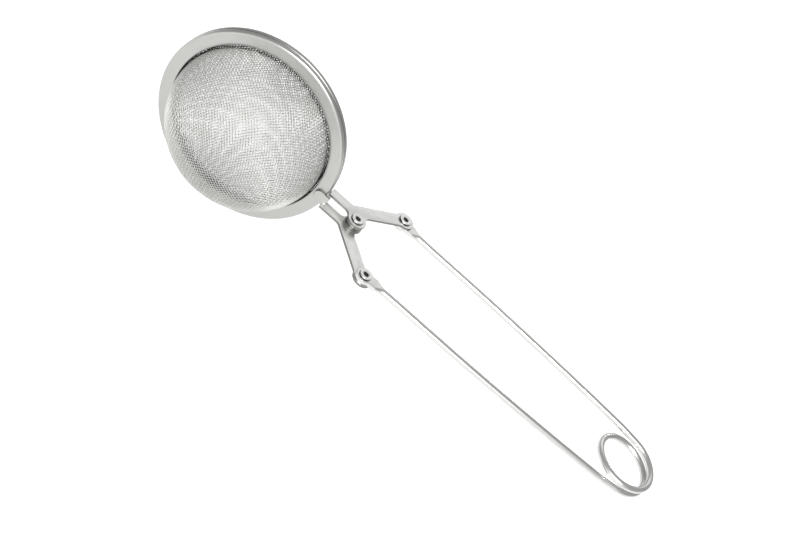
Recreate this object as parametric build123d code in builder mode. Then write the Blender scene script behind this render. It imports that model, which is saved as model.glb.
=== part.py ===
"""Snap-ball tea infuser: two mesh half-balls in folded rims, opened by squeezing a sprung wire handle.

The handle points along +X, the rivets stand along +Z and the two halves part along Y.
The origin is the middle of the infuser's bounding box, on the ball's own centre lines.
"""

from build123d import *
from math import atan2, cos, degrees, hypot, pi, radians, sin, tan
import os

os.makedirs("parts", exist_ok=True)

RIGHT = 1
LEFT = -1

# Ball: two folded rims that meet on Y = 0, each with a deep woven cup clamped in it
rim_radius = 27.5
rim_inner_radius = 23.65
rim_parting_gap = 0.1
rim_face_y = 1.75
rim_sheet = 0.45
rim_back_lip_radius = 24.2
mesh_radius = 23.2
mesh_depth = 21.2
mesh_shoulder_radius = 17.0
mesh_thickness = 0.45
mesh_bend_radius = 0.4
mesh_brim_radius = 26.2

# Levers: flat strips, one above the other where they share the centre rivet
ball_to_pivot = 38.0
handle_drop = 0.8
lever_thickness = 0.7
lever_gap = 1.4
lever_width = 4.1
lever_arm_width = 3.2
lever_arm_inner_y = 0.5
lever_eye_radius = 2.9
lever_corner_radius = 1.8
tail_reach_x = 10.8
tail_reach_y = 14.8
tail_root = (-1.0, 3.2)
foot_length = 3.5
foot_height = 3.4
foot_thickness = 0.7
foot_bridge = 0.9
foot_corner_radius = 1.5

# Handle: one spring wire, flattened and pierced at both ends, wound one and a half turns at the far end
wire_radius = 1.0
coil_radius = 8.7
coil_pitch = 2.7
pivot_to_coil = 101.7
wire_splay_at_coil = 6.5
wire_splay_at_eye = 2.0
coil_lead_length = 5.0
eye_lead_length = 4.0
wire_eye_radius = 2.6
wire_eye_thickness = 1.2
wire_neck_start = 4.0
wire_neck_end = 6.6
wire_neck_width = 3.6

# Rivets and the two washers between the levers
shank_radius = 1.0
shank_clearance = 0.03
open_eye_play = 0.6
rolled_head_radius = 1.85
rolled_head_height = 0.5
rolled_head_dimple_radius = 0.85
rolled_head_dimple_depth = 0.3
factory_head_radius = 2.3
factory_head_height = 0.7
head_gap = 0.05
washer_radius = 2.7
washer_gap = 0.05

# Stations along X and Z worked out from the sizes above
overall_length = rim_radius + ball_to_pivot + pivot_to_coil + coil_radius + wire_radius
coil_x = overall_length / 2 - coil_radius - wire_radius
pivot_x = coil_x - pivot_to_coil
ball_x = pivot_x - ball_to_pivot
handle_z = -handle_drop
coil_splay = radians(wire_splay_at_coil)
eye_splay = radians(wire_splay_at_eye)
coil_turns = 1.5 - 2 * wire_splay_at_coil / 360
coil_rise = coil_pitch * coil_turns
coil_slope = coil_pitch / (2 * pi * coil_radius)


def write(part, name):
    """Label a finished piece and write it to its own file."""
    part.label = name
    export_step(part, f"parts/{name}.step")


def make_rim(side):
    """Sheet ring folded to a channel: a flat face, a rounded outer edge and a back lip at the parting plane."""
    edge_radius = (rim_face_y - rim_parting_gap) / 2
    edge_y = side * (rim_parting_gap + edge_radius)
    bend_x = rim_radius - edge_radius
    face_out = side * rim_face_y
    face_in = side * (rim_face_y - rim_sheet)
    back_out = side * rim_parting_gap
    back_in = side * (rim_parting_gap + rim_sheet)
    with BuildPart() as rim:
        with BuildSketch(Plane(origin=(ball_x, 0, 0))):
            with BuildLine():
                Line((rim_inner_radius, face_out), (bend_x, face_out))
                ThreePointArc((bend_x, face_out), (rim_radius, edge_y), (bend_x, back_out))
                Line((bend_x, back_out), (rim_back_lip_radius, back_out))
                Line((rim_back_lip_radius, back_out), (rim_back_lip_radius, back_in))
                Line((rim_back_lip_radius, back_in), (bend_x, back_in))
                ThreePointArc((bend_x, back_in), (rim_radius - rim_sheet, edge_y), (bend_x, face_in))
                Line((bend_x, face_in), (rim_inner_radius, face_in))
                Line((rim_inner_radius, face_in), (rim_inner_radius, face_out))
            make_face()
        revolve(axis=Axis((ball_x, 0, 0), (0, 1, 0)))
    return rim.part


def make_mesh(side):
    """Woven cup as a thin sheet: a brim held in the rim, a tight bend and a dome of two tangent arcs."""
    brim_top = rim_face_y - rim_sheet
    brim_under = brim_top - mesh_thickness
    bend_x = mesh_radius + mesh_bend_radius
    bend_y = brim_top + mesh_bend_radius
    inner_radius = mesh_radius - mesh_thickness
    dome_height = mesh_depth - bend_y
    shoulder_x = mesh_radius - mesh_shoulder_radius
    crown_radius = (shoulder_x**2 + dome_height**2 - mesh_shoulder_radius**2) / (
        2 * (dome_height - mesh_shoulder_radius)
    )
    crown_y = mesh_depth - crown_radius
    joint_angle = degrees(atan2(bend_y - crown_y, shoulder_x))
    crown_angle = 90 - joint_angle
    with BuildPart() as mesh:
        with BuildSketch(Plane(origin=(ball_x, 0, 0))):
            with BuildLine():
                Line((mesh_brim_radius, side * brim_top), (bend_x, side * brim_top))
                TangentArc((bend_x, side * brim_top), (mesh_radius, side * bend_y), tangent=(-1, 0))
                for sheet in (0, mesh_thickness):
                    shoulder = mesh_shoulder_radius - sheet
                    crown = crown_radius - sheet
                    CenterArc((shoulder_x, side * bend_y), shoulder, 0, arc_size=side * joint_angle)
                    CenterArc((0, side * crown_y), crown, side * joint_angle, arc_size=side * crown_angle)
                Line((0, side * mesh_depth), (0, side * (mesh_depth - mesh_thickness)))
                TangentArc((bend_x, side * brim_under), (inner_radius, side * bend_y), tangent=(-1, 0))
                Line((bend_x, side * brim_under), (mesh_brim_radius, side * brim_under))
                Line((mesh_brim_radius, side * brim_under), (mesh_brim_radius, side * brim_top))
            make_face()
        revolve(axis=Axis((ball_x, 0, 0), (0, 1, 0)))
    return mesh.part


def make_lever(side):
    """Y-shaped strip: an arm to the rim, an ear on the centre rivet and a tail to the handle's rivet."""
    low_z = handle_z + (lever_gap / 2 if side == RIGHT else -lever_gap / 2 - lever_thickness)
    arm_end = rim_radius - ball_to_pivot + 0.3
    arm_length = tail_root[0] - arm_end
    arm_middle = arm_end + arm_length / 2
    arm_y = side * (lever_arm_inner_y + lever_arm_width / 2)
    tail_x = tail_reach_x - tail_root[0]
    tail_y = tail_reach_y - tail_root[1]
    tail_middle = (tail_root[0] + tail_x / 2, side * (tail_root[1] + tail_y / 2))
    tail_angle = side * degrees(atan2(tail_y, tail_x))
    with BuildPart() as lever:
        with BuildSketch(Plane(origin=(pivot_x, 0, low_z))):
            Circle(lever_eye_radius)
            with Locations((tail_reach_x, side * tail_reach_y)):
                Circle(lever_eye_radius)
            with Locations(Location((*tail_middle, 0), (0, 0, tail_angle))):
                SlotCenterToCenter(hypot(tail_x, tail_y), lever_width)
            with Locations((arm_middle, arm_y)):
                Rectangle(arm_length, lever_arm_width)
            offset(amount=lever_corner_radius)
            offset(amount=-lever_corner_radius)
            with Locations((0, 0), (tail_reach_x, side * tail_reach_y)):
                Circle(shank_radius + shank_clearance, mode=Mode.SUBTRACT)
        extrude(amount=lever_thickness)
        # Foot: a tongue bent square off the arm, towards the other lever, lying flat on the rim's face
        foot_edge = low_z + (lever_thickness if side == RIGHT else 0)
        foot_x = pivot_x + arm_end + foot_bridge - (foot_length + foot_bridge) / 2
        foot_plane = Plane(
            origin=(foot_x, side * rim_face_y, foot_edge - side * foot_height / 2),
            x_dir=(1, 0, 0),
            z_dir=(0, side, 0),
        )
        with BuildSketch(foot_plane):
            Rectangle(foot_length + foot_bridge, foot_height)
        extrude(amount=foot_thickness)
        foot_corners = lever.edges().filter_by(Axis.Y).group_by(Axis.X)[0]
        fillet(foot_corners, radius=foot_corner_radius)
    return lever.part


def make_rivet(x, y, shank_low, shank_high):
    """Rivet with a low domed head under its stack and a smaller rolled head, dimpled, on top."""
    dome_flat = factory_head_radius * 0.55
    dome_low = shank_low - factory_head_height
    rolled_top = shank_high + rolled_head_height
    rolled_corner = rolled_head_height * 0.6
    dimple_floor = rolled_top - rolled_head_dimple_depth
    with BuildPart() as rivet:
        with BuildSketch(Plane(origin=(x, y, 0), x_dir=(1, 0, 0), z_dir=(0, -1, 0))):
            with BuildLine():
                Line((0, dome_low), (dome_flat, dome_low))
                TangentArc((dome_flat, dome_low), (factory_head_radius, shank_low), tangent=(1, 0))
                Polyline(
                    (factory_head_radius, shank_low),
                    (shank_radius, shank_low),
                    (shank_radius, shank_high),
                    (rolled_head_radius, shank_high),
                    (rolled_head_radius, rolled_top - rolled_corner),
                )
                TangentArc(
                    (rolled_head_radius, rolled_top - rolled_corner),
                    (rolled_head_radius - rolled_corner, rolled_top),
                    tangent=(0, 1),
                )
                Polyline(
                    (rolled_head_radius - rolled_corner, rolled_top),
                    (rolled_head_dimple_radius, rolled_top),
                    (rolled_head_dimple_radius * 0.6, dimple_floor),
                    (0, dimple_floor),
                    (0, dome_low),
                )
            make_face()
        revolve(axis=Axis((x, y, 0), (0, 0, 1)))
    return rivet.part


def make_washer(side):
    """One of the two flat washers that keep the levers apart on the centre rivet."""
    thickness = (lever_gap - 3 * washer_gap) / 2
    low_z = handle_z + (washer_gap / 2 if side == RIGHT else -washer_gap / 2 - thickness)
    with BuildPart() as washer:
        with BuildSketch(Plane(origin=(pivot_x, 0, low_z))):
            Circle(washer_radius)
            Circle(shank_radius + shank_clearance, mode=Mode.SUBTRACT)
        extrude(amount=thickness)
    return washer.part


def make_coil():
    """One and a half turns of the handle wire, climbing from the left leg to the right one."""
    with BuildPart() as coil:
        with BuildLine() as turns:
            Helix(pitch=coil_pitch, height=coil_rise, radius=coil_radius)
        with BuildSketch(Plane(origin=turns.line @ 0, z_dir=turns.line % 0)):
            Circle(wire_radius)
        sweep(path=turns.line, is_frenet=True)
    left_end = Location((coil_x, 0, handle_z - coil_rise / 2), (0, 0, wire_splay_at_coil - 90))
    return coil.part.moved(left_end)


def make_leg(side):
    """Round wire from the coil to a flattened, pierced end that turns on the lever's rivet."""
    eye_x = pivot_x + tail_reach_x
    neck_far = wire_neck_end + eye_lead_length
    coil_end = (
        coil_x + coil_radius * sin(coil_splay),
        coil_radius * cos(coil_splay),
        coil_rise / 2,
    )
    lead_end = (
        coil_end[0] - coil_lead_length * cos(coil_splay),
        coil_end[1] + coil_lead_length * sin(coil_splay),
        coil_end[2] + coil_lead_length * coil_slope,
    )
    neck_lead = (eye_x + neck_far * cos(eye_splay), tail_reach_y - neck_far * sin(eye_splay))
    # The two straight runs, at their own splay angles, meet at the bow's corner
    gap_x = lead_end[0] - neck_lead[0]
    gap_y = neck_lead[1] - lead_end[1]
    bow_run = (gap_y - gap_x * tan(eye_splay)) / (sin(coil_splay) - cos(coil_splay) * tan(eye_splay))
    bow_x = lead_end[0] - bow_run * cos(coil_splay)
    bow_y = lead_end[1] + bow_run * sin(coil_splay)
    bow_z = lead_end[2] * (bow_x - neck_lead[0]) / gap_x
    neck_x = eye_x + wire_neck_end * cos(eye_splay)
    neck_y = tail_reach_y - wire_neck_end * sin(eye_splay)
    route = [
        coil_end,
        lead_end,
        (bow_x, bow_y, bow_z),
        (neck_lead[0], neck_lead[1], 0),
        (neck_x, neck_y, 0),
    ]
    route = [(x, side * y, handle_z + side * z) for x, y, z in route]
    along = Vector(cos(eye_splay), -side * sin(eye_splay), 0)
    eye_centre = Vector(eye_x, side * tail_reach_y, handle_z)
    hole_radius = shank_radius + (open_eye_play if side == RIGHT else shank_clearance)
    with BuildPart() as leg:
        with BuildLine() as wire_path:
            FilletPolyline(*route, radius=[60, 800, 120])
        with BuildSketch(Plane(origin=wire_path.line @ 0, z_dir=wire_path.line % 0)):
            Circle(wire_radius)
        sweep(path=wire_path.line)
        # Round wire pressed flat towards the eye
        with BuildSketch(Plane(origin=eye_centre + along * wire_neck_end, x_dir=(0, 0, 1), z_dir=-along)):
            Circle(wire_radius)
        with BuildSketch(Plane(origin=eye_centre + along * wire_neck_start, x_dir=(0, 0, 1), z_dir=-along)):
            RectangleRounded(wire_eye_thickness, wire_neck_width, wire_eye_thickness * 0.35)
        loft()
        eye_plane = Plane(
            origin=eye_centre - Vector(0, 0, wire_eye_thickness / 2), x_dir=along, z_dir=(0, 0, 1)
        )
        with BuildSketch(eye_plane):
            Circle(wire_eye_radius)
            with Locations((wire_neck_start / 2, 0)):
                Rectangle(wire_neck_start, wire_neck_width)
            offset(amount=1.2)
            offset(amount=-1.2)
            Circle(hole_radius, mode=Mode.SUBTRACT)
        extrude(amount=wire_eye_thickness)
    return leg.part


write(make_rim(LEFT), "left_rim")
write(make_rim(RIGHT), "right_rim")
write(make_mesh(LEFT), "left_mesh")
write(make_mesh(RIGHT), "right_mesh")
write(make_lever(LEFT), "left_lever")
write(make_lever(RIGHT), "right_lever")
write(make_leg(LEFT), "left_handle_leg")
write(make_leg(RIGHT), "right_handle_leg")
write(make_coil(), "handle_coil")

lever_outer_z = lever_gap / 2 + lever_thickness + head_gap
eye_outer_z = wire_eye_thickness / 2 + head_gap
leg_pin_x = pivot_x + tail_reach_x
write(make_washer(LEFT), "lower_washer")
write(make_washer(RIGHT), "upper_washer")
write(make_rivet(pivot_x, 0, handle_z - lever_outer_z, handle_z + lever_outer_z), "pivot_rivet")
write(make_rivet(leg_pin_x, -tail_reach_y, handle_z - lever_outer_z, handle_z + eye_outer_z), "left_leg_rivet")
write(make_rivet(leg_pin_x, tail_reach_y, handle_z - eye_outer_z, handle_z + lever_outer_z), "right_leg_rivet")
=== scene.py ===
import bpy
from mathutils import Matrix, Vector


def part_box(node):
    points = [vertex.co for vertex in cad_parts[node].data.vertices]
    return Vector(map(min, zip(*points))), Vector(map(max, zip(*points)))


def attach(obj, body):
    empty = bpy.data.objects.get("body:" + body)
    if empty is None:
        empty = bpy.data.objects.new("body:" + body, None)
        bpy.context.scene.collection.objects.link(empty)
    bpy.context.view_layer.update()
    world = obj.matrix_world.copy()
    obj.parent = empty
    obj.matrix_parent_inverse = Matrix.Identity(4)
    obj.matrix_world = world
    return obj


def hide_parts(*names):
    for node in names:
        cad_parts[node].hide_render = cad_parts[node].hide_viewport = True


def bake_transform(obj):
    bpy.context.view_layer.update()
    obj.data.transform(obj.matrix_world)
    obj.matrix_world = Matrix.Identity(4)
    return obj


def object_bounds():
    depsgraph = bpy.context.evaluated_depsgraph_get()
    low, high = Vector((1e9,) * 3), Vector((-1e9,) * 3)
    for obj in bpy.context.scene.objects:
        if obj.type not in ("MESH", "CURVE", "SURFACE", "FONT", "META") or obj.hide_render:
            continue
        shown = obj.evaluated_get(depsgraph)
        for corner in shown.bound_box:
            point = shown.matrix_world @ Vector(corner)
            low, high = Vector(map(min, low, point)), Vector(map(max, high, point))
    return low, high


bl_info = {
    "name": "Snap-ball tea infuser",
    "version": (1, 0, 0),
    "blender": (4, 5, 0),
    "location": "View3D > Sidebar > Infuser",
    "description": "Builds a snap-ball tea infuser: woven cups, folded rims, riveted levers "
    "and a sprung wire handle",
    "category": "Add Mesh",
}

from math import asin, atan2, cos, pi, radians, sin, tan

import bmesh
import bpy
from bpy.props import FloatProperty, FloatVectorProperty, PointerProperty
from mathutils import Matrix, Vector

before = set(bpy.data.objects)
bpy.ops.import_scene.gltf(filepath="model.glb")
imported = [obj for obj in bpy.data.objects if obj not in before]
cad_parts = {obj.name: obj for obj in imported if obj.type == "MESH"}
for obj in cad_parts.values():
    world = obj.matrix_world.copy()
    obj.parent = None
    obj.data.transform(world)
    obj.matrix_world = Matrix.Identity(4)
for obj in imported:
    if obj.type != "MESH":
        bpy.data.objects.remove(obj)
CAD_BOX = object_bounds()
MM = 0.001

# Stations read from the frame: the ball stands on X, Z and opens along Y, the handle runs along +X
RIM_LOW, RIM_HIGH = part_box("left_rim")
BALL = Vector(((RIM_LOW.x + RIM_HIGH.x) / 2, 0, (RIM_LOW.z + RIM_HIGH.z) / 2))
RIM_RADIUS = (RIM_HIGH.x - RIM_LOW.x) / 2
RIM_FACE_Y = -RIM_LOW.y
PARTING_Y = -RIM_HIGH.y
MESH_LOW, MESH_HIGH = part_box("left_mesh")
CUP_DEPTH = -MESH_LOW.y
BRIM_RADIUS = (MESH_HIGH.x - MESH_LOW.x) / 2
COIL_LOW, COIL_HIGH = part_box("handle_coil")
COIL = (COIL_LOW + COIL_HIGH) / 2
HANDLE_Z = COIL.z
COIL_OUTER = (COIL_HIGH.x - COIL_LOW.x) / 2
RIVET_LOW, RIVET_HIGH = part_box("pivot_rivet")
PIVOT = Vector(((RIVET_LOW.x + RIVET_HIGH.x) / 2, 0, HANDLE_Z))
PIN_LOW, PIN_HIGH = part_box("left_leg_rivet")
PIN_X = (PIN_LOW.x + PIN_HIGH.x) / 2
PIN_Y = -(PIN_LOW.y + PIN_HIGH.y) / 2
NEAR = -1
FAR = 1
# Near-black painted shade where two pieces meet and in hollows
PAINTED_SHADE_COLOUR = (0.03, 0.029, 0.026, 1)
# Steps round each kind of round shape
RIM_STEPS = 160
RIVET_STEPS = 56
WIRE_SIDES = 20
CLOTH_SIDES = 6


def length(name, text, default):
    """A size that a user can change, in metres."""
    return FloatProperty(name=name, description=text, default=default, min=0, unit="LENGTH", precision=5)


def turn(name, text, degrees_default):
    """An angle that a user can change."""
    return FloatProperty(name=name, description=text, default=radians(degrees_default), unit="ROTATION")


def share(name, text, default, top=1.0):
    """A plain number without a unit."""
    return FloatProperty(name=name, description=text, default=default, min=0, max=top)


def power(name, text, default):
    """A light's power, in watts."""
    return FloatProperty(name=name, description=text, default=default, min=0)


def tint(name, text, default):
    """A colour that a user can change."""
    return FloatVectorProperty(name=name, description=text, default=default, subtype="COLOR", min=0, max=1)


class InfuserClothSizes(bpy.types.PropertyGroup):
    """The woven wire cloth of the two cups."""

    pitch: length("Pitch", "Distance from one wire of the cloth to the next", 0.80 * MM)
    wire: length("Cloth wire", "Thickness of the cloth's wire", 0.21 * MM)
    crimp: share("Crimp", "How far a wire rises over the one it crosses, in wire thicknesses", 0.46)
    lay: turn("Lay", "Turn of the cloth's wires from the handle's line", 45)
    wall_radius: length("Wall radius", "Radius of the cup where it leaves the rim", 23.1 * MM)
    shoulder_radius: length("Shoulder radius", "Radius of the arc from the wall to the crown", 17.0 * MM)
    bend_radius: length("Bend radius", "Radius of the turn from the wall to the brim", 0.45 * MM)


class InfuserRimSizes(bpy.types.PropertyGroup):
    """The folded sheet rims."""

    sheet: length("Rim sheet", "Thickness of the rim's sheet", 0.45 * MM)
    inner_radius: length("Inner edge", "Radius of the rim's inner edge on its face", 23.65 * MM)
    back_lip_radius: length("Back lip", "Inner radius of the lip folded under the brim", 24.2 * MM)
    fold: length("Fold", "Outer radius of the fold round the rim's edge", 0.78 * MM)
    face_bend: length("Face bend", "Reach of the shallow bend along the middle of the face", 1.2 * MM)
    crown: length("Face crown", "How far the middle of the face is lower than its inner edge", 0.12 * MM)


class InfuserStripSizes(bpy.types.PropertyGroup):
    """The levers' strip and the rivets through it."""

    grain: turn("Grain", "Turn of the left lever's rolling lines from the handle's line", 25)
    edge: length("Strip edge", "Rounding of the strip's stamped edges", 0.06 * MM)
    eye_thickness: length("Eye thickness", "Thickness of the handle wire's flattened end", 1.2 * MM)
    head_gap: length("Head gap", "Gap between a rivet's head and the stack", 0.05 * MM)
    shank: length("Shank", "Radius of the rivets' shank", 1.0 * MM)
    rolled_head: length("Rolled head", "Radius of the rivets' rolled upper head", 1.85 * MM)
    rolled_height: length("Rolled height", "Height of the rolled head", 0.5 * MM)
    dimple: length("Dimple", "Radius of the hollow in the rolled head", 1.0 * MM)
    dimple_depth: length("Dimple depth", "Depth of the hollow in the rolled head", 0.34 * MM)
    rolled_round: length("Rolled rounding", "Rounding of the rolled head's rim", 0.16 * MM)
    dimple_round: length("Dimple rounding", "Rounding of the hollow's corners", 0.1 * MM)
    factory_head: length("Lower head", "Radius of the rivets' lower head", 2.3 * MM)
    factory_height: length("Lower height", "Height of the lower head", 0.7 * MM)
    factory_round: length("Lower rounding", "Rounding of the lower head's dome", 0.28 * MM)
    washer_edge: length("Washer edge", "Rounding of the washers' outer edges", 0.06 * MM)
    washer_play: length("Washer play", "Gap between a washer and the shank", 0.03 * MM)
    tongue: length("Tongue", "How far a lever's tongue reaches along its rim's face", 3.6 * MM)


class InfuserWireSizes(bpy.types.PropertyGroup):
    """The handle's spring wire."""

    radius: length("Wire radius", "Radius of the handle's wire", 1.0 * MM)
    coil_pitch: length("Coil pitch", "Rise of the coil in one turn", 2.7 * MM)
    coil_splay: turn("Splay at the coil", "Angle of a leg to the handle's line where it leaves the coil", 6.5)
    eye_splay: turn("Splay at the eye", "Angle of a leg to the handle's line at its rivet", 2)
    coil_lead: length("Lead", "Straight run from the coil to the leg's bow", 5 * MM)
    neck_lead: length("Neck lead", "Straight run from the bow to the flattened neck", 4 * MM)
    coil_bend: length("Coil bend", "Radius of a leg's bend next to the coil", 60 * MM)
    bow_bend: length("Bow", "Radius of a leg's long bow", 800 * MM)
    neck_bend: length("Neck bend", "Radius of a leg's bend next to its neck", 120 * MM)
    step: length("Step", "Distance between the points along a leg", 3 * MM)
    eye_radius: length("Eye radius", "Radius of the flattened eye", 2.6 * MM)
    neck_start: length("Neck start", "Distance from the rivet to the flat end of the neck", 4.0 * MM)
    neck_end: length("Neck end", "Distance from the rivet to the round end of the neck", 6.6 * MM)
    neck_width: length("Neck width", "Width of the neck at its flat end", 3.6 * MM)


class InfuserFinish(bpy.types.PropertyGroup):
    """Colours and gloss of the steel."""

    rolled: tint("Rolled steel", "Colour of the rims", (0.40, 0.40, 0.388))
    stamped: tint("Stamped steel", "Colour of the levers and rivets", (0.70, 0.70, 0.685))
    # Partly the duller colour of a cut edge, partly painted shade: dark outlines on the strip's edges and
    # dark washers standing in for the gap between the levers.
    sheared_and_shade: tint("Sheared steel", "Colour of the strip's stamped edges", (0.20, 0.198, 0.19))
    drawn: tint("Drawn steel", "Colour of the handle's wire", (0.58, 0.58, 0.568))
    woven: tint("Woven steel", "Colour of the cloth's wire", (0.54, 0.54, 0.526))
    # Also the colour that the cloth darkens to, as painted shade, towards the rims.
    stain: tint("Stain", "Colour of the dull spots left by handling", (0.27, 0.266, 0.255))
    # Painted shade: near-black on the cloth's wire where it enters the rim, standing in for the shadow there.
    crevice_shade: tint("Crevice", "Colour of the cloth's wire where it enters the rim", (0.035, 0.034, 0.03))
    gloss: share("Roughness", "Roughness of the polished faces", 0.34)


class InfuserStudio(bpy.types.PropertyGroup):
    """Camera, floor and light."""

    bearing: turn("Bearing", "Turn of the view to the left of the handle's side view", 7.16)
    height: turn("Height", "Angle of the view above the floor", 36.75)
    roll: turn("Roll", "Turn of the picture, which carries the handle down to the right", 46.07)
    distance: length("Distance", "From the camera to the middle of the view", 312.2 * MM)
    aim_along: length("Aim", "From the ball to the middle of the view, along the handle", 55.35 * MM)
    aim_drop: length("Aim drop", "How far the middle of the view is under the ball's centre", 1.6 * MM)
    lens: FloatProperty(name="Lens", description="Focal length of the camera", default=51.1, unit="CAMERA")
    sky: share("Sky", "Brightness of the light from all sides", 0.55, 10)
    softbox: power("Softbox", "Power of the softbox behind the camera", 40)
    panel: power("Panel", "Power of the wide panel over the far side", 1.4)
    panel_width: length("Panel width", "Width of the wide panel", 0.9)
    panel_depth: length("Panel depth", "Depth of the wide panel", 0.6)
    paper: tint("Paper", "Colour of the floor", (0.78, 0.78, 0.78))
    floor_reach: length("Floor reach", "Half the width of the floor", 3.0)
    floor_gap: length("Floor gap", "Gap between the floor and the infuser's lowest point", 0.5 * MM)
    glow: share("Floor glow", "Light the lit paper adds of its own, which keeps it pale", 0.30)
    softbox_size: length("Softbox size", "Width of the softbox", 417 * MM)
    softbox_reach: share("Softbox reach", "Distance of the softbox, in camera distances", 5.0, 10)


# Materials: a wrapped socket with arithmetic, and one method for every other node


class Value:
    """An output socket of a material's nodes; arithmetic on it adds Math nodes."""

    def __init__(self, recipe, socket):
        self.recipe = recipe
        self.socket = socket

    def math(self, operation, *others):
        """The value taken through a Math node with others."""
        return self.recipe.node("ShaderNodeMath", {"operation": operation}, dict(enumerate((self, *others))))

    def __add__(self, other):
        return self.math("ADD", other)

    __radd__ = __add__

    def __sub__(self, other):
        return self.math("SUBTRACT", other)

    def __rsub__(self, other):
        return self.recipe.node("ShaderNodeMath", {"operation": "SUBTRACT"}, {0: other, 1: self})

    def __mul__(self, other):
        return self.math("MULTIPLY", other)

    __rmul__ = __mul__

    def __truediv__(self, other):
        return self.math("DIVIDE", other)

    def __pow__(self, other):
        return self.math("POWER", other)


class Recipe:
    """A material's node tree, empty but for its output and its steel shader."""

    def __init__(self, name):
        self.material = bpy.data.materials.new(name)
        self.material.use_nodes = True
        self.nodes = self.material.node_tree.nodes
        self.shader = next(n for n in self.nodes if n.type == "BSDF_PRINCIPLED")

    def set(self, node, sockets):
        """Gives a node's input sockets their values or links."""
        for key, value in sockets.items():
            socket = node.inputs[key]
            if isinstance(value, Value):
                self.material.node_tree.links.new(value.socket, socket)
            else:
                socket.default_value = value

    def node(self, kind, settings, sockets, output=0):
        """Adds a node with its settings, then its sockets, and wraps one of its outputs."""
        made = self.nodes.new(kind)
        for key, value in settings.items():
            setattr(made, key, value)
        self.set(made, sockets)
        return Value(self, made.outputs[output])

    def place(self):
        """The point of the surface in the object's own frame."""
        return self.node("ShaderNodeTexCoord", {}, {}, "Object")

    def mapped(self, centre=(0, 0, 0), angles=(0, 0, 0), scale=(1, 1, 1)):
        """The point centred, turned and stretched for a pattern."""
        centred = self.node("ShaderNodeVectorMath", {"operation": "SUBTRACT"}, {0: self.place(), 1: centre})
        return self.node("ShaderNodeMapping", {}, {"Vector": centred, "Rotation": angles, "Scale": scale})

    def noise(self, where, scale, detail=4.0, roughness=0.55):
        """Noise at a point of a pattern."""
        return self.node(
            "ShaderNodeTexNoise",
            {"noise_dimensions": "3D"},
            {"Vector": where, "Scale": scale, "Detail": detail, "Roughness": roughness},
        )

    def ranged(self, value, low, high, to_low=0.0, to_high=1.0):
        """A value's range moved to another, and clamped to it."""
        return self.node(
            "ShaderNodeMapRange",
            {"clamp": True},
            {"Value": value, "From Min": low, "From Max": high, "To Min": to_low, "To Max": to_high},
        )

    def mix(self, factor, first, second):
        """Two colours mixed."""
        return self.node(
            "ShaderNodeMix",
            {"data_type": "RGBA", "clamp_factor": True},
            {0: factor, 6: first, 7: second},
            2,
        )

    def rings(self, centre, axis):
        """Coordinates that run round an axis: distance from it, a slow angle, and height along it."""
        turned = {"Y": (radians(90), 0, 0), "Z": (0, 0, 0)}[axis]
        x, y, z = self.coordinates(centre, turned)
        away = (x * x + y * y) ** 0.5
        return self.node("ShaderNodeCombineXYZ", {}, {0: away, 1: (x / away) * 0.002, 2: z})

    def coordinates(self, centre, angles=(0, 0, 0)):
        """The point's three coordinates about a centre, after a turn."""
        parts = self.nodes.new("ShaderNodeSeparateXYZ")
        self.set(parts, {0: self.mapped(centre, angles)})
        return tuple(Value(self, out) for out in parts.outputs)

    def finish(self, colour, stain, lines, line_depth, gloss, spread=0.12, dull=0.10, painted_shade=None):
        """Steel with fine lines, dull handled spots, small dents, and painted shade in the gaps and hollows
        that a mask marks.
        """
        place = self.place()
        cloud = self.noise(place, 95, 3)
        spots = self.ranged(self.noise(place, 420, 5, 0.65), 0.56, 0.74)
        handled = self.ranged(cloud, 0.42, 0.68) * 0.55 + spots * 0.45
        shade = self.ranged(lines, 0.3, 0.7) * 0.16 + handled * 0.22
        base = self.mix(shade, (*colour, 1), (*stain, 1))
        # Painted shade: the mask darkens the colour towards near-black where shade falls between pieces and
        # in hollows.
        if painted_shade is not None:
            base = self.mix(painted_shade, base, PAINTED_SHADE_COLOUR)
        rough = gloss + (lines - 0.5) * spread + handled * dull
        dents = self.noise(place, 160, 2, 0.4)
        low = self.node("ShaderNodeBump", {}, {"Height": dents, "Strength": 0.05, "Distance": 0.12 * MM})
        bump = self.node(
            "ShaderNodeBump",
            {},
            {"Height": lines, "Strength": line_depth, "Distance": 0.015 * MM, "Normal": low},
        )
        self.set(self.shader, {"Base Color": base, "Metallic": 1.0, "Roughness": rough, "Normal": bump})
        return self.material


def pressed_steel(name, settings):
    """Rim sheet: polished in rings on a spinning former, with painted shade along the line where the two rims
    meet at their outer edge.
    """
    recipe = Recipe(name)
    rings = recipe.rings(BALL, "Y")
    lines = recipe.noise(rings, 5200, 5, 0.7)
    x, y, z = recipe.coordinates(BALL)
    # Painted shade: a dark line where the two rims meet, at their outer edge.
    seam = recipe.ranged(y.math("ABSOLUTE"), PARTING_Y + 0.05 * MM, PARTING_Y + 0.35 * MM, 0.92, 0.0)
    away = (x * x + z * z) ** 0.5
    outer = recipe.ranged(away, RIM_RADIUS - 1.0 * MM, RIM_RADIUS - 0.6 * MM)
    return recipe.finish(settings.rolled, settings.stain, lines, 0.35, settings.gloss, painted_shade=seam * outer)


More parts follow.
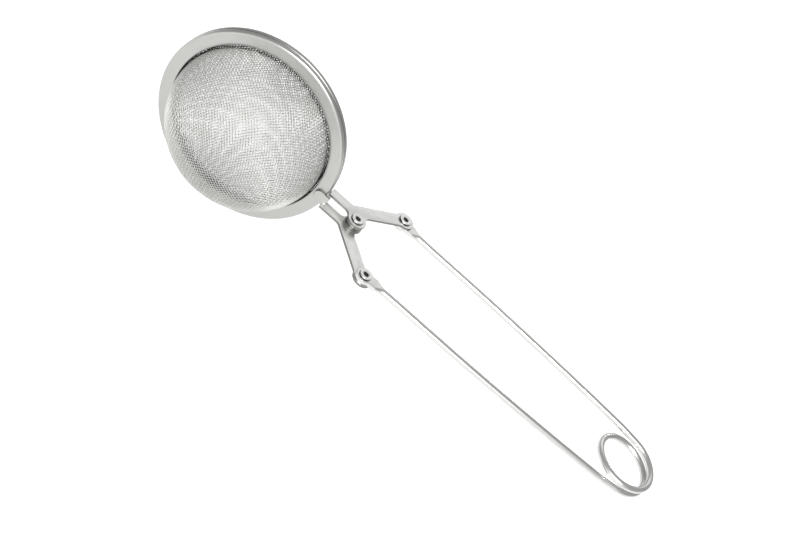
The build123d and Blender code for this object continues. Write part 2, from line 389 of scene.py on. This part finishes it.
def rolled_steel(name, settings, angle, sizes, side):
    """Lever strip: rolled lengthwise, then tumbled after stamping, with painted shade round its rivets'
    heads.
    """
    recipe = Recipe(name)
    grain = recipe.mapped(PIVOT, (0, 0, angle), (60, 2600, 2600))
    lines = recipe.noise(grain, 1, 5, 0.65)
    # Painted shade: a dark ring on the strip round each rivet head, standing in for the head's contact
    # shadow.
    painted_shade = 0.0
    head = sizes.rolled_head
    for centre in (PIVOT, (PIN_X, side * PIN_Y, HANDLE_Z)):
        x, y, _ = recipe.coordinates(centre)
        away = (x * x + y * y) ** 0.5
        painted_shade = recipe.ranged(away, head + 0.02 * MM, head + 0.2 * MM, 0.85, 0.0) + painted_shade
    return recipe.finish(settings.stamped, settings.stain, lines, 0.30, settings.gloss + 0.06, painted_shade=painted_shade)


def sheared_steel(name, settings):
    """Stamped edge of the strip: duller, with the punch's upright tears, and darkened as painted shade so the
    edges read as dark outlines.
    """
    recipe = Recipe(name)
    tears = recipe.mapped(PIVOT, (0, 0, 0), (2400, 2400, 240))
    lines = recipe.noise(tears, 1, 4, 0.6)
    return recipe.finish(settings.sheared_and_shade, settings.sheared_and_shade, lines, 0.5, settings.gloss + 0.2)


def drawn_steel(name, settings):
    """Handle wire: bright drawn, with lines along the legs."""
    recipe = Recipe(name)
    grain = recipe.mapped((0, 0, HANDLE_Z), (0, 0, 0), (90, 3800, 3800))
    lines = recipe.noise(grain, 1, 4, 0.6)
    return recipe.finish(settings.drawn, settings.stain, lines, 0.03, settings.gloss - 0.06, 0.04, 0.05)


def coiled_steel(name, settings):
    """The same wire round the coil, its lines bent with it."""
    recipe = Recipe(name)
    rings = recipe.rings((COIL.x, 0, HANDLE_Z), "Z")
    lines = recipe.noise(rings, 3800, 4, 0.6)
    return recipe.finish(settings.drawn, settings.stain, lines, 0.03, settings.gloss - 0.06, 0.04, 0.05)


def turned_steel(name, settings, centre, stack_top, sizes):
    """Rivet heads: rings left by the rolling tool, painted shade in the hollow and on the head's lower wall
    where it meets the stack.
    """
    recipe = Recipe(name)
    rings = recipe.rings(centre, "Z")
    lines = recipe.noise(rings, 4600, 4, 0.6)
    x, y, z = recipe.coordinates(centre)
    away = (x * x + y * y) ** 0.5
    top = stack_top + sizes.rolled_height
    # Painted shade: the hollow and the foot of the head's wall are darkened where shade falls.
    inside = recipe.ranged(away, sizes.dimple * 0.75, sizes.dimple * 1.15, 1.0, 0.0)
    sunk = recipe.ranged(z, top - 0.3 * MM, top - 0.08 * MM, 0.9, 0.0)
    foot = recipe.ranged(z, stack_top + 0.22 * MM, stack_top + 0.4 * MM, 0.95, 0.0)
    painted_shade = inside * sunk + foot
    return recipe.finish(settings.stamped, settings.stain, lines, 0.45, settings.gloss + 0.02, painted_shade=painted_shade)


def washer_steel(name, settings):
    """Washers: tumbled, in the dark edge colour and near-black where their faces meet, both painted shade for
    the gap between the levers.
    """
    recipe = Recipe(name)
    rings = recipe.rings(PIVOT, "Z")
    lines = recipe.noise(rings, 4600, 4, 0.6)
    *_, z = recipe.coordinates(PIVOT)
    # Painted shade: near-black where the two washers' faces meet.
    joint = recipe.ranged(z.math("ABSOLUTE"), 0.06 * MM, 0.24 * MM, 1.0, 0.0)
    return recipe.finish(settings.sheared_and_shade, settings.sheared_and_shade, lines, 0.45, settings.gloss + 0.1, painted_shade=joint)


def woven_steel(name, settings):
    """Cloth wire: bright, a little duller in random patches where tea and washing leave their marks, with
    painted shade darkening it towards the rims and near-black where it enters them.
    """
    recipe = Recipe(name)
    place = recipe.place()
    lines = recipe.noise(place, 2600, 3, 0.6)
    patches = recipe.ranged(recipe.noise(place, 120, 3, 0.5), 0.35, 0.7)
    _, y, _ = recipe.coordinates(BALL)
    along = y.math("ABSOLUTE")
    # Painted shade: near-black on the wire where it enters the rim.
    crevice_shade = recipe.ranged(along, RIM_FACE_Y - 0.2 * MM, RIM_FACE_Y + 0.5 * MM, 1.0, 0.0)
    # Painted shade: the wire darkens towards the rim over its last 4 mm, mixed towards the stain colour.
    rim_shade = recipe.ranged(along, RIM_FACE_Y, RIM_FACE_Y + 4 * MM, 0.45, 0.0)
    bright = recipe.mix(patches * 0.28 + lines * 0.1 + rim_shade, (*settings.woven, 1), (*settings.stain, 1))
    base = recipe.mix(crevice_shade, bright, (*settings.crevice_shade, 1))
    rough = 0.5 + patches * 0.12 + lines * 0.08
    bump = recipe.node("ShaderNodeBump", {}, {"Height": lines, "Strength": 0.15, "Distance": 0.01 * MM})
    recipe.set(recipe.shader, {"Base Color": base, "Metallic": 1.0, "Roughness": rough, "Normal": bump})
    return recipe.material


# Shared making steps


def keep(shape, name, material, body, nodes, crease=35):
    """Turns a finished bmesh into a piece that rides on its body in place of its CAD nodes."""
    bmesh.ops.remove_doubles(shape, verts=shape.verts, dist=0.002 * MM)
    bmesh.ops.recalc_face_normals(shape, faces=shape.faces)
    for face in shape.faces:
        face.smooth = True
    for edge in shape.edges:
        edge.smooth = len(edge.link_faces) == 2 and edge.calc_face_angle(0) < radians(crease)
    mesh = bpy.data.meshes.new(name)
    shape.to_mesh(mesh)
    shape.free()
    if not mesh.polygons:
        raise RuntimeError(f"{name} came out empty")
    piece = bpy.data.objects.new(name, mesh)
    bpy.context.scene.collection.objects.link(piece)
    mesh.materials.append(material)
    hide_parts(*nodes)
    if body:
        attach(piece, body)
    return piece


def section(shape, points):
    """Closed outline of vertices and edges from its corners."""
    corners = [shape.verts.new(p) for p in points]
    pairs = zip(corners, corners[1:] + corners[:1])
    edges = [shape.edges.new(pair) for pair in pairs]
    return corners, edges


def round_corners(shape, corners, amount, segments):
    """Rounds the chosen corners of an outline."""
    bmesh.ops.bevel(
        shape,
        geom=corners,
        offset=amount,
        offset_type="OFFSET",
        segments=segments,
        profile=0.5,
        affect="VERTICES",
        material=-1,
    )


def spin_round(shape, centre, axis, steps):
    """Turns the outline into a closed ring or knob."""
    bmesh.ops.spin(
        shape,
        geom=list(shape.verts) + list(shape.edges),
        cent=centre,
        axis=axis,
        angle=2 * pi,
        steps=steps,
        use_merge=True,
    )


def soften(shape, edges, amount, segments=2):
    """Rounds the chosen edges."""
    bmesh.ops.bevel(
        shape,
        geom=edges,
        offset=amount,
        offset_type="OFFSET",
        segments=segments,
        profile=0.5,
        affect="EDGES",
        clamp_overlap=True,
        material=-1,
    )


def wire_along(name, runs, radius, sides):
    """Round wire along each run of points, as one mesh with closed ends."""
    curve = bpy.data.curves.new(name, "CURVE")
    curve.dimensions = "3D"
    curve.bevel_depth = radius
    curve.bevel_resolution = (sides - 4) // 2
    curve.use_fill_caps = True
    for run in runs:
        spline = curve.splines.new("POLY")
        spline.points.add(len(run) - 1)
        for point, place in zip(spline.points, run):
            point.co = (*place, 1)
    holder = bpy.data.objects.new(name, curve)
    mesh = bpy.data.meshes.new_from_object(holder)
    shape = bmesh.new()
    shape.from_mesh(mesh)
    bpy.data.objects.remove(holder)
    bpy.data.curves.remove(curve)
    bpy.data.meshes.remove(mesh)
    return shape


# Cups: wire cloth draped over a dome so that every mesh keeps its four sides


class CupForm:
    """The dome that the cloth is pressed on: a crown arc, a shoulder arc, a straight wall, then the brim."""

    def __init__(self, sizes, sheet):
        wire = sizes.wire
        self.wall = sizes.wall_radius - wire
        self.depth = CUP_DEPTH - 1.5 * wire
        self.bend = sizes.bend_radius
        self.brim_y = RIM_FACE_Y - sheet - 2.4 * wire
        self.wall_y = self.brim_y + self.bend
        self.shoulder = sizes.shoulder_radius
        self.shoulder_x = self.wall - self.shoulder
        rise = self.depth - self.wall_y
        reach = self.shoulder_x**2 + rise**2 - self.shoulder**2
        self.crown = reach / (2 * (rise - self.shoulder))
        self.crown_y = self.depth - self.crown
        self.joint = atan2(self.shoulder_x, self.wall_y - self.crown_y)
        self.crown_run = self.crown * self.joint
        self.dome_run = self.crown_run + self.shoulder * (pi / 2 - self.joint)
        self.end_run = self.dome_run + self.bend * pi / 2 + BRIM_RADIUS - 4 * wire - self.wall - self.bend

    def profile(self, run, straight=False):
        """Radius, height and outward direction at a distance from the pole; straight leaves out the brim."""
        if run < self.crown_run:
            angle = run / self.crown
            return self.crown * sin(angle), self.crown_y + self.crown * cos(angle), sin(angle), cos(angle)
        if run < self.dome_run:
            angle = self.joint + (run - self.crown_run) / self.shoulder
            radius = self.shoulder_x + self.shoulder * sin(angle)
            return radius, self.wall_y + self.shoulder * cos(angle), sin(angle), cos(angle)
        beyond = run - self.dome_run
        if straight:
            return self.wall, self.wall_y - beyond, 1.0, 0.0
        angle = beyond / self.bend
        if angle < pi / 2:
            radius = self.wall + self.bend * (1 - cos(angle))
            return radius, self.wall_y - self.bend * sin(angle), cos(angle), sin(angle)
        flat = beyond - self.bend * pi / 2
        return self.wall + self.bend + flat, self.brim_y, 0.0, 1.0

    def point(self, run, heading, lift=0.0, straight=False):
        """Point of the dome about its own pole, raised from it by lift."""
        radius, height, out, up = self.profile(run, straight)
        radius += lift * out
        return Vector((radius * cos(heading), height + lift * up, radius * sin(heading)))

    def crossing(self, one, other, run, heading, pitch):
        """The point one pitch from both neighbours, found by Newton steps from a first guess."""

        def miss(r, h):
            here = self.point(r, h, 0, True)
            return (here - one).length - pitch, (here - other).length - pitch

        small = pitch * 0.001
        for _ in range(12):
            f, g = miss(run, heading)
            if abs(f) + abs(g) < pitch * 1e-6:
                break
            f_run, g_run = (v - w for v, w in zip(miss(run + small, heading), (f, g)))
            turned = small / self.wall
            f_turn, g_turn = (v - w for v, w in zip(miss(run, heading + turned), (f, g)))
            f_run, g_run = f_run / small, g_run / small
            f_turn, g_turn = f_turn / turned, g_turn / turned
            lean = f_run * g_turn - f_turn * g_run
            step_run = (f * g_turn - g * f_turn) / lean
            step_turn = (g * f_run - f * g_run) / lean
            run -= max(-pitch, min(pitch, step_run))
            heading -= max(-0.2, min(0.2, step_turn))
        return run, heading

    def drape(self, pitch):
        """A quarter of the cloth: run and heading of every crossing, counted from the pole."""
        count = int(self.end_run / pitch * 1.02) + 2
        cloth = {(0, 0): (0.0, pi / 4)}
        for i in range(1, count):
            cloth[i, 0] = (i * pitch, 0.0)
            cloth[0, i] = (i * pitch, pi / 2)
        for j in range(1, count):
            for i in range(1, count):
                before = cloth.get((i - 1, j))
                below = cloth.get((i, j - 1))
                inner = cloth.get((i - 1, j - 1))
                if before is None or below is None or max(before[0], below[0]) > self.end_run + pitch:
                    continue
                one = self.point(*before, 0, True)
                other = self.point(*below, 0, True)
                guess = one + other - self.point(*inner, 0, True)
                heading = atan2(guess.z, guess.x)
                run = max(before[0], below[0]) + 0.5 * pitch
                cloth[i, j] = self.crossing(one, other, run, heading, pitch)
        return cloth


def cup_wires(form, sizes):
    """Runs of points for every wire of both directions, about the cup's pole."""
    quarter = form.drape(sizes.pitch)
    reach = max(i for i, j in quarter)

    def crossing(i, j):
        found = quarter.get((abs(i), abs(j)))
        if found is None or found[0] > form.end_run:
            return None
        run, heading = found
        if i < 0:
            heading = pi - heading
        if j < 0:
            heading = -heading
        return run, heading

    runs = []
    for along_first in (True, False):
        for row in range(-reach, reach + 1):
            wire = []
            for step in range(-reach, reach + 1):
                i, j = (step, row) if along_first else (row, step)
                found = crossing(i, j)
                if found is None:
                    if len(wire) > 1:
                        runs.append(wire)
                    wire = []
                    continue
                over = 1 if ((i + j) % 2 == 0) == along_first else -1
                lift = over * sizes.crimp * sizes.wire
                wire.append(form.point(found[0], found[1] + sizes.lay, lift))
            if len(wire) > 1:
                runs.append(wire)
    return runs


class INFUSER_OT_cups(bpy.types.Operator):
    """Weave both cups and clamp their brims in the rims"""

    bl_idname = "infuser.cups"
    bl_label = "Woven cups"

    def execute(self, context):
        sizes = context.scene.infuser_cloth
        form = CupForm(sizes, context.scene.infuser_rims.sheet)
        runs = cup_wires(form, sizes)
        steel = woven_steel("woven steel", context.scene.infuser_finish)
        for side, name, body, node in (
            (NEAR, "left_woven_cup", "left_jaw", "left_mesh"),
            (FAR, "right_woven_cup", "right_jaw", "right_mesh"),
        ):
            placed = [[BALL + Vector((p.x, side * p.y, p.z)) for p in run] for run in runs]
            shape = wire_along(name, placed, sizes.wire / 2, CLOTH_SIDES)
            keep(shape, name, steel, body, [node], 75)
        return {"FINISHED"}


class INFUSER_OT_rims(bpy.types.Operator):
    """Fold both rims round the brims of the cups"""

    bl_idname = "infuser.rims"
    bl_label = "Folded rims"

    def execute(self, context):
        sizes = context.scene.infuser_rims
        steel = pressed_steel("pressed rim steel", context.scene.infuser_finish)
        for side, name, body, node in (
            (NEAR, "left_folded_rim", "left_jaw", "left_rim"),
            (FAR, "right_folded_rim", "right_jaw", "right_rim"),
        ):
            shape = self.fold(sizes, side)
            keep(shape, name, steel, body, [node], 50)
        return {"FINISHED"}

    def fold(self, sizes, side):
        """Section of the folded sheet, spun round the ball's axis."""
        sheet = sizes.sheet
        face = RIM_FACE_Y
        back = PARTING_Y
        sunk = face - sizes.crown
        middle = (sizes.inner_radius + RIM_RADIUS) / 2
        outline = [
            (sizes.inner_radius, face),
            (middle, sunk),
            (RIM_RADIUS, face - 0.4 * sizes.crown),
            (RIM_RADIUS, back),
            (sizes.back_lip_radius, back),
            (sizes.back_lip_radius, back + sheet),
            (RIM_RADIUS - sheet, back + sheet),
            (RIM_RADIUS - sheet, face - sheet),
            (middle, sunk - sheet),
            (sizes.inner_radius, face - sheet),
        ]
        shape = bmesh.new()
        points = [BALL + Vector((r, side * y, 0)) for r, y in outline]
        corners, _ = section(shape, points)
        inner_edge = [corners[0], corners[4], corners[5], corners[9]]
        outer_fold = [corners[2], corners[3]]
        inner_fold = [corners[6], corners[7]]
        gentle = [corners[1], corners[8]]
        round_corners(shape, outer_fold, sizes.fold, 6)
        round_corners(shape, inner_fold, sizes.fold - sheet * 0.6, 4)
        round_corners(shape, gentle, sizes.face_bend, 4)
        round_corners(shape, inner_edge, sheet * 0.36, 2)
        spin_round(shape, BALL, (0, 1, 0), RIM_STEPS)
        return shape


class INFUSER_OT_levers(bpy.types.Operator):
    """Stamp both levers and weld their feet to the rims"""

    bl_idname = "infuser.levers"
    bl_label = "Levers"

    def execute(self, context):
        sizes = context.scene.infuser_strip
        finish = context.scene.infuser_finish
        edge_steel = sheared_steel("sheared strip edge", finish)
        # The tongue's upright flats take the rims' darker colour, as painted shade.
        tongue_shade_steel = pressed_steel("tongue_painted_shade", finish)
        for side, name, body, node in (
            (NEAR, "left_stamped_lever", "left_jaw", "left_lever"),
            (FAR, "right_stamped_lever", "right_jaw", "right_lever"),
        ):
            shape = self.stamp(node, sizes)
            steel = rolled_steel(f"rolled strip {body}", finish, -side * sizes.grain, sizes, side)
            tongue_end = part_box(node)[0].x + sizes.tongue
            piece = keep(shape, name, steel, body, [node], 40)
            piece.data.materials.append(edge_steel)
            piece.data.materials.append(tongue_shade_steel)
            # The strip's flats stay rolled; the tongue's upright flats take the rims' darker colour as
            # painted shade, and the stamped edges take the dark edge colour, partly painted shade; both are
            # told by their tilt
            for face in piece.data.polygons:
                on_rim = face.center.x < tongue_end
                if on_rim and abs(face.normal.y) > 0.95:
                    face.material_index = 2
                elif abs(face.normal.z) < 0.97 or on_rim:
                    face.material_index = 1
        return {"FINISHED"}

    def stamp(self, node, sizes):
        """The lever's blank with its stamped edges rounded."""
        shape = bmesh.new()
        shape.from_mesh(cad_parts[node].data)
        bmesh.ops.remove_doubles(shape, verts=shape.verts, dist=0.005 * MM)
        bmesh.ops.dissolve_limit(
            shape,
            angle_limit=radians(1),
            verts=shape.verts,
            edges=shape.edges,
            delimit={"NORMAL"},
        )
        sharp = [e for e in shape.edges if len(e.link_faces) == 2 and e.calc_face_angle(0) > radians(50)]
        soften(shape, sharp, sizes.edge, 3)
        return shape


def rivet_shape(sizes, centre, stack_low, stack_high):
    """Rivet with a low dome under its stack and a rolled, dimpled head on top."""
    head = sizes.rolled_head
    top = stack_high + sizes.rolled_height
    under = stack_low - sizes.factory_height
    wide = sizes.factory_head
    dimple = sizes.dimple
    floor = top - sizes.dimple_depth
    shape = bmesh.new()
    outline = [
        (0, under),
        (wide * 0.62, under + 0.02 * MM),
        (wide, under + sizes.factory_height * 0.55),
        (wide, stack_low),
        (sizes.shank, stack_low),
        (sizes.shank, stack_high),
        (head, stack_high),
        (head, top),
        (dimple, top),
        (dimple * 0.55, floor),
        (0, floor + 0.06 * MM),
    ]
    corners = [shape.verts.new(centre + Vector((r, 0, z))) for r, z in outline]
    for pair in zip(corners, corners[1:]):
        shape.edges.new(pair)
    round_corners(shape, [corners[1], corners[2]], sizes.factory_round, 4)
    round_corners(shape, [corners[7]], sizes.rolled_round, 4)
    round_corners(shape, [corners[8], corners[9]], sizes.dimple_round, 3)
    spin_round(shape, centre, (0, 0, 1), RIVET_STEPS)
    return shape


class INFUSER_OT_rivets(bpy.types.Operator):
    """Close the three rivets: the centre pivot and one at each end of the handle"""

    bl_idname = "infuser.rivets"
    bl_label = "Rivets"

    def execute(self, context):
        sizes = context.scene.infuser_strip
        finish = context.scene.infuser_finish
        lever_side = HANDLE_Z - RIVET_LOW.z - sizes.factory_height
        eye_side = sizes.eye_thickness / 2 + sizes.head_gap
        for name, body, node, x, y, low, high in (
            ("centre_rivet", "pivot", "pivot_rivet", PIVOT.x, 0, lever_side, lever_side),
            ("left_end_rivet", "left_jaw", "left_leg_rivet", PIN_X, -PIN_Y, lever_side, eye_side),
            ("right_end_rivet", "right_jaw", "right_leg_rivet", PIN_X, PIN_Y, eye_side, lever_side),
        ):
            centre = Vector((x, y, HANDLE_Z))
            shape = rivet_shape(sizes, centre, -low, high)
            steel = turned_steel(f"rolled head {name}", finish, centre, high, sizes)
            keep(shape, name, steel, body, [node], 50)
        return {"FINISHED"}


class INFUSER_OT_washers(bpy.types.Operator):
    """Put the two spacing washers between the levers"""

    bl_idname = "infuser.washers"
    bl_label = "Washers"

    def execute(self, context):
        sizes = context.scene.infuser_strip
        steel = washer_steel("washer steel", context.scene.infuser_finish)
        hole = sizes.shank + sizes.washer_play
        for node in ("lower_washer", "upper_washer"):
            low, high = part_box(node)
            radius = (high.x - low.x) / 2
            middle = (low + high) / 2
            half = (high.z - low.z) / 2
            shape = bmesh.new()
            outline = ((hole, -half), (radius, -half), (radius, half), (hole, half))
            corners, _ = section(shape, [middle + Vector((r, 0, z)) for r, z in outline])
            round_corners(shape, corners[1:3], sizes.washer_edge, 3)
            spin_round(shape, middle, (0, 0, 1), RIVET_STEPS)
            keep(shape, f"{node}_pressed", steel, "pivot", [node], 50)
        return {"FINISHED"}


def coil_turns(wire):
    """The coil's turns: one and a half, less the splay of the two legs."""
    return 1.5 - 2 * wire.coil_splay / (2 * pi)


def leg_route(wire, side):
    """Corners of one leg's path, from the coil's end to the flattened neck."""
    coil_radius = COIL_OUTER - wire.radius
    rise = wire.coil_pitch * coil_turns(wire)
    slope = wire.coil_pitch / (2 * pi * coil_radius)
    near, far = wire.coil_splay, wire.eye_splay
    start = Vector((COIL.x + coil_radius * sin(near), coil_radius * cos(near), rise / 2))
    lead = start + wire.coil_lead * Vector((-cos(near), sin(near), slope))
    eye = Vector((PIN_X, PIN_Y, 0))
    along = Vector((cos(far), -sin(far), 0))
    neck = eye + along * (wire.neck_end + wire.neck_lead)
    gap = lead - neck
    bow_run = (-gap.y - gap.x * tan(far)) / (sin(near) - cos(near) * tan(far))
    bow = lead + bow_run * Vector((-cos(near), sin(near), 0))
    bow.z = lead.z * (bow.x - neck.x) / gap.x
    route = [start, lead, bow, neck, eye + along * wire.neck_end]
    return [Vector((p.x, side * p.y, HANDLE_Z + side * p.z)) for p in route]


def bent_path(route, radii, step):
    """Points along a route whose corners are rounded to the given radii."""
    shape = bmesh.new()
    verts = [shape.verts.new(p) for p in route]
    for pair in zip(verts, verts[1:]):
        shape.edges.new(pair)
    inner = list(zip(verts[1:-1], radii, route, route[1:], route[2:]))
    first = verts[0]
    for vert, radius, before, at, after in inner:
        half = (at - before).angle(after - at) / 2
        round_corners(shape, [vert], radius * tan(half), 8)
    path, seen, here = [], set(), first
    while here is not None:
        seen.add(here)
        path.append(here.co.copy())
        ahead = [e.other_vert(here) for e in here.link_edges]
        here = next((v for v in ahead if v not in seen), None)
    shape.free()
    points = [path[0]]
    for a, b in zip(path, path[1:]):
        count = max(1, round((b - a).length / step))
        points += [a.lerp(b, k / count) for k in range(1, count + 1)]
    return points


class INFUSER_OT_legs(bpy.types.Operator):
    """Draw the handle's two legs and flatten their ends on the rivets"""

    bl_idname = "infuser.legs"
    bl_label = "Handle legs"

    def execute(self, context):
        wire = context.scene.infuser_wire
        strip = context.scene.infuser_strip
        steel = drawn_steel("drawn leg wire", context.scene.infuser_finish)
        for side, name, body, node in (
            (NEAR, "left_wire_leg", "left_leg", "left_handle_leg"),
            (FAR, "right_wire_leg", "right_leg", "right_handle_leg"),
        ):
            bends = (wire.coil_bend, wire.bow_bend, wire.neck_bend)
            path = bent_path(leg_route(wire, side), bends, wire.step)
            shape = wire_along(name, [path], wire.radius, WIRE_SIDES)
            self.flatten(shape, wire, strip, side)
            keep(shape, name, steel, body, [node], 45)
        return {"FINISHED"}

    def flatten(self, shape, wire, strip, side):
        """The neck pressed from round to flat, and the eye round the rivet."""
        eye = Vector((PIN_X, side * PIN_Y, HANDLE_Z))
        along = Vector((cos(wire.eye_splay), -side * sin(wire.eye_splay), 0))
        across = along.cross(Vector((0, 0, 1)))
        half = strip.eye_thickness / 2
        # Neck: rings of the same count, from the flat end to the round wire, going a little into both
        rings = []
        neck_steps, ring_points, flat_power = 8, 32, 0.42
        overlap = 0.4 * MM
        neck_run = wire.neck_end + overlap - wire.neck_start
        for k in range(neck_steps + 1):
            part = k / neck_steps
            eased = part * part * (3 - 2 * part)
            at = eye + along * (wire.neck_start - overlap + part * neck_run)
            wide = wire.neck_width / 2 + (wire.radius - wire.neck_width / 2) * eased
            tall = half + (wire.radius - half) * eased
            square = flat_power + (1 - flat_power) * eased
            ring = []
            for n in range(ring_points):
                angle = 2 * pi * n / ring_points
                c, s = cos(angle), sin(angle)
                out = across * (wide * abs(c) ** square * (1 if c >= 0 else -1))
                up = Vector((0, 0, tall * abs(s) ** square * (1 if s >= 0 else -1)))
                ring.append(shape.verts.new(at + out + up))
            rings.append([shape.edges.new(pair) for pair in zip(ring, ring[1:] + ring[:1])])
        for one, other in zip(rings, rings[1:]):
            bmesh.ops.bridge_loops(shape, edges=one + other)
        for end in (rings[0], rings[-1]):
            bmesh.ops.edgeloop_fill(shape, edges=end)
        # Eye: a rounded outline with its neck, pressed to an even thickness
        reach = wire.neck_start
        narrow = wire.neck_width / 2
        full = wire.eye_radius
        outline = [eye + along * reach - across * narrow]
        turn_in = asin(narrow / full)
        count = 40
        for k in range(count + 1):
            angle = -turn_in - (2 * pi - 2 * turn_in) * k / count
            outline.append(eye + along * (full * cos(angle)) + across * (full * sin(angle)))
        outline.append(eye + along * reach + across * narrow)
        low = Vector((0, 0, -half))
        corners = [shape.verts.new(p + low) for p in outline]
        plate = shape.faces.new(corners)
        raised = bmesh.ops.extrude_face_region(shape, geom=[plate])
        top = [v for v in raised["geom"] if isinstance(v, bmesh.types.BMVert)]
        bmesh.ops.translate(shape, verts=top, vec=(0, 0, 2 * half))
        plate_verts = set(top) | set(corners)
        outlines = [
            edge
            for edge in shape.edges
            if plate_verts.issuperset(edge.verts) and abs((edge.verts[0].co - edge.verts[1].co).z) < half
        ]
        soften(shape, outlines, strip.edge, 3)


class INFUSER_OT_coil(bpy.types.Operator):
    """Wind the coil that springs the handle open"""

    bl_idname = "infuser.coil"
    bl_label = "Handle coil"

    def execute(self, context):
        wire = context.scene.infuser_wire
        radius = COIL_OUTER - wire.radius
        turns = coil_turns(wire)
        rise = wire.coil_pitch * turns
        path = []
        count = 120
        for k in range(count + 1):
            angle = wire.coil_splay - pi / 2 + 2 * pi * turns * k / count
            height = rise * (k / count - 0.5)
            path.append(Vector((COIL.x + radius * cos(angle), radius * sin(angle), HANDLE_Z + height)))
        shape = wire_along("sprung_coil", [path], wire.radius, WIRE_SIDES)
        steel = coiled_steel("drawn coil wire", context.scene.infuser_finish)
        piece = keep(shape, "sprung_coil", steel, None, ["handle_coil"], 45)
        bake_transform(piece)
        return {"FINISHED"}


class INFUSER_OT_stage(bpy.types.Operator):
    """Lay the pale floor, set the light and place the camera"""

    bl_idname = "infuser.stage"
    bl_label = "Studio"

    def execute(self, context):
        studio = context.scene.infuser_studio
        aim = BALL + Vector((studio.aim_along, 0, -studio.aim_drop))
        self.lay_floor(studio, CAD_BOX[0].z)
        self.place_camera(context.scene, studio, aim)
        self.set_light(context.scene, studio)
        return {"FINISHED"}

    def lay_floor(self, studio, height):
        """Pale paper, just under the infuser."""
        shape = bmesh.new()
        bmesh.ops.create_grid(shape, x_segments=2, y_segments=2, size=studio.floor_reach)
        bmesh.ops.translate(shape, verts=shape.verts, vec=(0, 0, height - studio.floor_gap))
        mesh = bpy.data.meshes.new("pale_floor")
        shape.to_mesh(mesh)
        shape.free()
        floor = bpy.data.objects.new("pale_floor", mesh)
        bpy.context.scene.collection.objects.link(floor)
        recipe = Recipe("pale paper")
        recipe.set(
            recipe.shader,
            {
                "Base Color": (*studio.paper, 1),
                "Roughness": 0.95,
                "Specular IOR Level": 0.1,
                "Emission Color": (1, 1, 1, 1),
                "Emission Strength": studio.glow,
            },
        )
        mesh.materials.append(recipe.material)

    def set_light(self, scene, studio):
        """Light from all sides, a softbox behind the camera and a panel over the far side."""
        world = scene.world or bpy.data.worlds.new("soft sky")
        scene.world = world
        world.use_nodes = True
        sky = world.node_tree.nodes["Background"]
        sky.inputs["Color"].default_value = (1, 1, 1, 1)
        sky.inputs["Strength"].default_value = studio.sky
        scene.view_settings.view_transform = "Standard"
        away = scene.camera.location - BALL
        size = studio.softbox_size
        self.hang_light(scene, "softbox", BALL + away * studio.softbox_reach, size, size, studio.softbox)
        beyond = Vector((-away.x, -away.y, away.z)).normalized()
        width, depth = studio.panel_width, studio.panel_depth
        self.hang_light(scene, "far panel", BALL + beyond, width, depth, studio.panel)

    def hang_light(self, scene, name, place, width, depth, watts):
        """A flat light that faces the ball and isn't seen itself."""
        light = bpy.data.lights.new(name, "AREA")
        light.shape = "RECTANGLE"
        light.size = width
        light.size_y = depth
        light.energy = watts
        holder = bpy.data.objects.new(name, light)
        scene.collection.objects.link(holder)
        holder.location = place
        holder.rotation_euler = (place - BALL).to_track_quat("Z", "Y").to_euler()
        holder.visible_camera = False

    def place_camera(self, scene, studio, aim):
        """A camera looking down on the infuser, rolled about its own line of sight."""
        bearing, height = studio.bearing, studio.height
        back = Vector((-sin(bearing) * cos(height), -cos(bearing) * cos(height), sin(height)))
        level = Vector((cos(bearing), -sin(bearing), 0))
        upright = back.cross(level)
        right = level * cos(studio.roll) + upright * sin(studio.roll)
        up = back.cross(right)
        place = aim + back * studio.distance
        camera = bpy.data.cameras.new("studio camera")
        camera.lens = studio.lens
        camera.sensor_width = 36
        camera.clip_start = 0.01
        camera.dof.use_dof = False
        holder = bpy.data.objects.new("studio camera", camera)
        scene.collection.objects.link(holder)
        turned = Matrix((right, up, back)).transposed().to_4x4()
        holder.matrix_world = Matrix.Translation(place) @ turned
        scene.camera = holder


class INFUSER_PT_panel(bpy.types.Panel):
    """Every making step of the infuser, in order"""

    bl_idname = "INFUSER_PT_panel"
    bl_label = "Tea infuser"
    bl_space_type = "VIEW_3D"
    bl_region_type = "UI"
    bl_category = "Infuser"

    def draw(self, context):
        for step in STEPS:
            self.layout.operator(step.bl_idname)
        for group in GROUPS:
            box = self.layout.box()
            box.label(text=GROUPS[group].__doc__)
            values = getattr(context.scene, group)
            for name in GROUPS[group].__annotations__:
                box.prop(values, name)


STEPS = (
    INFUSER_OT_cups,
    INFUSER_OT_rims,
    INFUSER_OT_levers,
    INFUSER_OT_rivets,
    INFUSER_OT_washers,
    INFUSER_OT_legs,
    INFUSER_OT_coil,
    INFUSER_OT_stage,
)
GROUPS = {
    "infuser_cloth": InfuserClothSizes,
    "infuser_rims": InfuserRimSizes,
    "infuser_strip": InfuserStripSizes,
    "infuser_wire": InfuserWireSizes,
    "infuser_finish": InfuserFinish,
    "infuser_studio": InfuserStudio,
}


def register():
    for group, kind in GROUPS.items():
        bpy.utils.register_class(kind)
        setattr(bpy.types.Scene, group, PointerProperty(type=kind))
    for kind in (*STEPS, INFUSER_PT_panel):
        bpy.utils.register_class(kind)


def unregister():
    for kind in (INFUSER_PT_panel, *reversed(STEPS)):
        bpy.utils.unregister_class(kind)
    for group, kind in GROUPS.items():
        delattr(bpy.types.Scene, group)
        bpy.utils.unregister_class(kind)


def main():
    """Makes every piece in order."""
    register()
    bpy.ops.infuser.cups()
    bpy.ops.infuser.rims()
    bpy.ops.infuser.levers()
    bpy.ops.infuser.rivets()
    bpy.ops.infuser.washers()
    bpy.ops.infuser.legs()
    bpy.ops.infuser.coil()
    bpy.ops.infuser.stage()
    bpy.context.view_layer.update()


if __name__ == "__main__":
    main()
